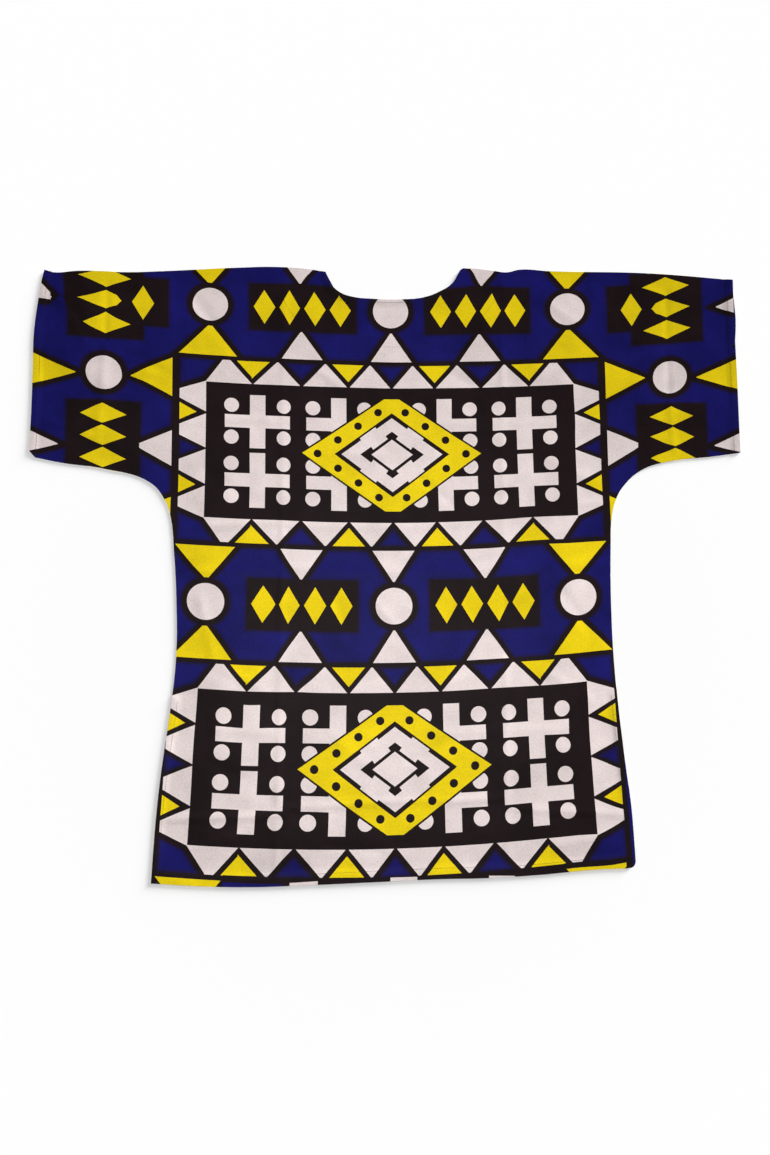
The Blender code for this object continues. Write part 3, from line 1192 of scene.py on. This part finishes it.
def make_weave_group():
    """A plain weave's height, from a place in metres."""
    tree, start, end = group_with("plain weave", [("Place", "Vector")], [("Height", "Float")])
    split = tree.nodes.new("ShaderNodeSeparateXYZ")
    tree.links.new(start.outputs["Place"], split.inputs["Vector"])
    turns = math.pi / THREAD
    warp = (Flow(tree, split.outputs["X"]) * turns).step("SINE")
    weft = (Flow(tree, split.outputs["Y"]) * turns).step("SINE")
    height = (warp * weft) * 0.5 + 0.5
    slub = tree.nodes.new("ShaderNodeTexNoise")
    slub.inputs["Scale"].default_value = 900.0
    slub.inputs["Detail"].default_value = 2.0
    tree.links.new(start.outputs["Place"], slub.inputs["Vector"])
    height = height + Flow(tree, slub.outputs["Fac"]) * 0.5
    tree.links.new(height.socket, end.inputs["Height"])
    return tree


def make_dye_and_shade_group():
    """A colour made a little lighter and darker from place to place: dye clouds and painted mottled
    shade.
    """
    tree, start, end = group_with(
        "uneven dye",
        [("Colour", "Color"), ("Place", "Vector"), ("Amount", "Float")],
        [("Colour", "Color")],
    )
    total = None
    for scale, share in DYE_AND_SHADE_CLOUDS:
        cloud = tree.nodes.new("ShaderNodeTexNoise")
        cloud.inputs["Scale"].default_value = scale
        cloud.inputs["Detail"].default_value = 3.0
        tree.links.new(start.outputs["Place"], cloud.inputs["Vector"])
        part = (Flow(tree, cloud.outputs["Fac"]) - 0.5) * share
        total = part if total is None else total + part
    value = total * Flow(tree, start.outputs["Amount"]) + 1.0
    shade = tree.nodes.new("ShaderNodeHueSaturation")
    tree.links.new(value.socket, shade.inputs["Value"])
    tree.links.new(start.outputs["Colour"], shade.inputs["Color"])
    tree.links.new(shade.outputs["Color"], end.inputs["Colour"])
    return tree


weave_group = make_weave_group()
dye_and_shade_group = make_dye_and_shade_group()
print("a thread of the weave is", THREAD / MM, "mm wide")

# %% [markdown]
# ## Printed cotton
# The colour comes from the print, with clouds of dye and painted mottled shade over it,
# stronger on the dark inks. Wax-print cotton is matt with a faint sheen, so it is rough and
# reflects little. The bump adds the weave.

# %% The cloth's material
def make_cotton(name):
    material = bpy.data.materials.new(name)
    material.use_nodes = True
    tree = material.node_tree
    shader = tree.nodes["Principled BSDF"]
    shader.inputs["Specular IOR Level"].default_value = 0.14

    place = tree.nodes.new("ShaderNodeUVMap")
    place.uv_map = "print"

    def placed(group):
        node = tree.nodes.new("ShaderNodeGroup")
        node.node_tree = group
        tree.links.new(place.outputs["UV"], node.inputs["Place"])
        return node

    printed = placed(print_group)
    dye_and_shade = placed(dye_and_shade_group)
    # painted shade and dye clouds, stronger on the dark inks than on the pale ones
    uneven = Flow(tree, printed.outputs["Pale ink"]) * -0.55 + 0.95
    tree.links.new(uneven.socket, dye_and_shade.inputs["Amount"])
    tree.links.new(printed.outputs["Ink colour"], dye_and_shade.inputs["Colour"])
    tree.links.new(dye_and_shade.outputs["Colour"], shader.inputs["Base Color"])

    rough = Flow(tree, printed.outputs["Pale ink"]) * 0.1 + 0.62
    tree.links.new(rough.socket, shader.inputs["Roughness"])

    woven = placed(weave_group)
    bump = tree.nodes.new("ShaderNodeBump")
    bump.inputs["Strength"].default_value = 0.25
    bump.inputs["Distance"].default_value = 0.00006
    tree.links.new(woven.outputs["Height"], bump.inputs["Height"])
    tree.links.new(bump.outputs["Normal"], shader.inputs["Normal"])
    return material


cotton = make_cotton("printed_cotton")
for piece in (back_cloth, front_cloth):
    piece.data.materials.clear()
    piece.data.materials.append(cotton)
print("the cotton takes", len(cotton.node_tree.nodes), "nodes")

# %% [markdown]
# ## Sewing
# The hems, vents, neckline and the hidden facing are held by lines of machine stitches. One
# stitch is a thin, slightly arched length of thread whose ends dip into the cloth. It is
# modelled once and copied along each line.

# %% One stitch, and a line of them
STITCH = 2.3
STITCH_PITCH = 3.0
STITCH_CUTS = (-0.32, 0.0, 0.32)
THREAD_RADIUS = 0.13


def model_stitch():
    """A single stitch along X, centred, in millimetres: points and faces."""
    bpy.ops.object.select_all(action="DESELECT")
    bpy.ops.mesh.primitive_cylinder_add(
        vertices=6, radius=THREAD_RADIUS, depth=STITCH, rotation=(0.0, math.pi / 2.0, 0.0)
    )
    stitch = bpy.context.active_object
    bpy.ops.object.transform_apply(rotation=True)
    bpy.ops.object.mode_set(mode="EDIT")
    bpy.ops.mesh.select_all(action="SELECT")
    for cut in STITCH_CUTS:
        bpy.ops.mesh.bisect(plane_co=(cut * STITCH, 0, 0), plane_no=(1, 0, 0))
        bpy.ops.mesh.select_all(action="SELECT")
    bpy.ops.object.mode_set(mode="OBJECT")
    for vert in stitch.data.vertices:
        vert.co.z -= 0.9 * THREAD_RADIUS * (abs(vert.co.x) / (STITCH / 2.0)) ** 3
    points = np.array([tuple(vert.co) for vert in stitch.data.vertices])
    faces = [tuple(face.vertices) for face in stitch.data.polygons]
    bpy.data.objects.remove(stitch, do_unlink=True)
    return points, faces


def along_line(line, pitch):
    """Evenly spaced places on a line of points, each with the line's direction there."""
    steps = np.linalg.norm(np.diff(line, axis=0), axis=1)
    keep = np.concatenate([[True], steps > 1e-6])
    line = line[keep]
    steps = np.linalg.norm(np.diff(line, axis=0), axis=1)
    travelled = np.concatenate([[0.0], np.cumsum(steps)])
    spots = np.arange(pitch / 2.0, travelled[-1], pitch)
    places = np.column_stack([np.interp(spots, travelled, line[:, axis]) for axis in (0, 1)])
    ahead = np.column_stack([np.interp(spots + 0.5, travelled, line[:, axis]) for axis in (0, 1)])
    behind = np.column_stack([np.interp(spots - 0.5, travelled, line[:, axis]) for axis in (0, 1)])
    direction = ahead - behind
    return places, direction / np.linalg.norm(direction, axis=1)[:, None]


def beside(line, inset):
    """The line moved sideways, into the panel."""
    step = np.gradient(line, axis=0)
    length = np.linalg.norm(step, axis=1)
    good = length > 1e-6
    line, step, length = line[good], step[good], length[good]
    side = np.column_stack([step[:, 1], -step[:, 0]]) / length[:, None]
    return line + side * inset


stitch_points, stitch_faces = model_stitch()
print("one stitch has", len(stitch_faces), "faces")


def sew(name, lines, height, facing_up, material):
    """Lines of stitches joined into one piece. height gives the cloth's face at each place."""
    points, faces = [], []
    for line in lines:
        places, direction = along_line(line, STITCH_PITCH)
        levels = height(places)
        for (x, y), (dx, dy), level in zip(places, direction, levels):
            turned = np.column_stack([
                x + stitch_points[:, 0] * dx - stitch_points[:, 1] * dy,
                y + stitch_points[:, 0] * dy + stitch_points[:, 1] * dx,
                level + (stitch_points[:, 2] if facing_up else -stitch_points[:, 2]),
            ])
            first = len(points) * len(stitch_points)
            points.append(turned)
            for face in stitch_faces:
                corners = tuple(first + index for index in face)
                faces.append(corners if facing_up else corners[::-1])
    data = bpy.data.meshes.new(name)
    data.from_pydata((np.vstack(points) * MM).tolist(), [], faces)
    data.materials.append(material)
    for face in data.polygons:
        face.use_smooth = True
    piece = bpy.data.objects.new(name, data)
    bpy.context.scene.collection.objects.link(piece)
    print(name, "has", len(points), "stitches")
    return piece


# %% Thread
def make_thread():
    material = bpy.data.materials.new("sewing_thread")
    material.use_nodes = True
    tree = material.node_tree
    shader = tree.nodes["Principled BSDF"]
    shader.inputs["Roughness"].default_value = 0.7
    shader.inputs["Specular IOR Level"].default_value = 0.2
    place = tree.nodes.new("ShaderNodeTexCoord")
    # the thread's dark colour gets the same clouds of dye and painted shade as the cloth
    dye_and_shade = tree.nodes.new("ShaderNodeGroup")
    dye_and_shade.node_tree = dye_and_shade_group
    dye_and_shade.inputs["Colour"].default_value = (0.022, 0.016, 0.026, 1.0)
    dye_and_shade.inputs["Amount"].default_value = 0.6
    tree.links.new(place.outputs["Object"], dye_and_shade.inputs["Place"])
    tree.links.new(dye_and_shade.outputs["Colour"], shader.inputs["Base Color"])
    return material


thread = make_thread()
print("the thread takes", len(thread.node_tree.nodes), "nodes")

# %% Lines of stitches
FACING_LINE = (
    # turn, x, y: the edge of the neck facing, which is sewn down inside
    ("corner", -152.6, 377),
    ("round", -136.6, 325),
    ("round", -107.0, 292.5),
    ("round", -55.9, 274.0),
    ("round", -4.8, 270.5),
    ("round", 46.7, 275.2),
    ("round", 99.0, 297.8),
    ("round", 125.9, 327.2),
    ("corner", 151.0, 374),
)
FRONT_FACING_LINE = (
    ("corner", -152.6, 377),
    ("round", -106.0, 280),
    ("round", -48.0, 165),
    ("round", 1.0, 128),
    ("round", 52.0, 166),
    ("round", 108.0, 282),
    ("corner", 151.0, 374),
)


def stitch_lines(panel, facing):
    """Where a panel is sewn: cuffs, hem, vents, neckline and the facing's edge."""
    left_vent = panel.lines["left side"]
    right_vent = panel.lines["right side"]
    return [
        beside(panel.lines["left cuff"], CUFF_HEM - 1.0),
        beside(panel.lines["right cuff"], CUFF_HEM - 1.0),
        beside(panel.lines["hem"], BOTTOM_HEM - 1.0),
        beside(left_vent[left_vent[:, 1] < VENT_TOP], VENT_HEM - 1.0),
        beside(right_vent[right_vent[:, 1] < VENT_TOP], VENT_HEM - 1.0),
        beside(panel.lines["neck"], NECK_STITCH),
        open_line("facing", facing),
    ]


back_stitches = sew(
    "back_stitches", stitch_lines(back, FACING_LINE), back_top, facing_up=True, material=thread
)
front_stitches = sew(
    "front_stitches",
    stitch_lines(front, FRONT_FACING_LINE),
    lambda places: front_bottom(places) + 0.02,
    facing_up=False,
    material=thread,
)

# %% [markdown]
# ## Putting the pieces in place
# Both panels are sheets that were cut flat and laid on the table, one on the other. Each panel
# and its stitches hang from the root, and the solid it dresses is hidden.


for piece, node, panel, colour_slot, stitches, under in (
    (back_cloth, "back_panel", back, "printed_cotton_back", back_stitches, ["front_panel"]),
    (front_cloth, "front_panel", front, "printed_cotton_front", front_stitches, []),
):
    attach(piece, "root")
    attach(stitches, "root")
    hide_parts(node)

# %% [markdown]
# ## Floor and light
# The shirt lies on a plain pale floor in soft light. A low, wide sun from the upper right
# leaves a thin soft shadow on the left and under the hem, a lamp hangs overhead, and a pale sky
# fills in the rest. The floor gives off what it lacks of white.

# %% Light
SUN_SHARE = 0.40
SKY_SHARE = 0.09
LAMP_SHARE = 0.57
SUN_HEIGHT = 15.0
SUN_FROM = 42.0
SUN_WIDTH = 24.0
LAMP_PLACE = (-0.02, -0.10, 0.84)
LAMP_WIDTH = 0.30

sun_data = bpy.data.lights.new("low_sun", "SUN")
sun_data.energy = SUN_SHARE * math.pi / math.sin(math.radians(SUN_HEIGHT))
sun_data.angle = math.radians(SUN_WIDTH)
sun = bpy.data.objects.new("low_sun", sun_data)
sun.visible_glossy = False
sun.rotation_euler = (0.0, math.radians(90.0 - SUN_HEIGHT), math.radians(SUN_FROM))
bpy.context.scene.collection.objects.link(sun)

lamp_data = bpy.data.lights.new("overhead", "AREA")
lamp_data.size = LAMP_WIDTH
lamp_data.energy = LAMP_SHARE * (math.pi * LAMP_PLACE[2]) ** 2
lamp = bpy.data.objects.new("overhead", lamp_data)
lamp.location = LAMP_PLACE
bpy.context.scene.collection.objects.link(lamp)

world = bpy.data.worlds.new("sky")
bpy.context.scene.world = world
world.use_nodes = True
world.node_tree.nodes["Background"].inputs["Color"].default_value = (1.0, 1.0, 1.0, 1.0)
world.node_tree.nodes["Background"].inputs["Strength"].default_value = SKY_SHARE
bpy.context.scene.view_settings.view_transform = "Standard"
print("the sun stands", SUN_HEIGHT, "degrees high and the lamp", LAMP_PLACE[2], "m")

# %% Floor
FLOOR_ALBEDO = 0.93

bpy.ops.mesh.primitive_plane_add(size=6.0, location=(0.0, 0.0, -0.0003))
floor = bpy.context.active_object
floor.name = "floor"
floor_material = bpy.data.materials.new("pale_floor")
floor_material.use_nodes = True
floor_tree = floor_material.node_tree
floor_shader = floor_tree.nodes["Principled BSDF"]
floor_shader.inputs["Base Color"].default_value = (FLOOR_ALBEDO, FLOOR_ALBEDO, FLOOR_ALBEDO, 1.0)
floor_shader.inputs["Roughness"].default_value = 1.0
floor_shader.inputs["Specular IOR Level"].default_value = 0.0
floor_shader.inputs["Emission Strength"].default_value = 1.0

floor_place = floor_tree.nodes.new("ShaderNodeTexCoord")
floor_split = floor_tree.nodes.new("ShaderNodeSeparateXYZ")
floor_tree.links.new(floor_place.outputs["Object"], floor_split.inputs["Vector"])
from_lamp_x = Flow(floor_tree, floor_split.outputs["X"]) - LAMP_PLACE[0]
from_lamp_y = Flow(floor_tree, floor_split.outputs["Y"]) - LAMP_PLACE[1]
spread = (from_lamp_x * from_lamp_x + from_lamp_y * from_lamp_y) * LAMP_PLACE[2] ** -2.0 + 1.0
lamp_light = (spread * spread).step("POWER", -1.0) * LAMP_SHARE
lift = (lamp_light + SUN_SHARE + SKY_SHARE) * -FLOOR_ALBEDO + 0.992
floor_tree.links.new(lift.socket, floor_shader.inputs["Emission Color"])
floor.data.materials.append(floor_material)
print("the floor sends back", FLOOR_ALBEDO, "of its light")
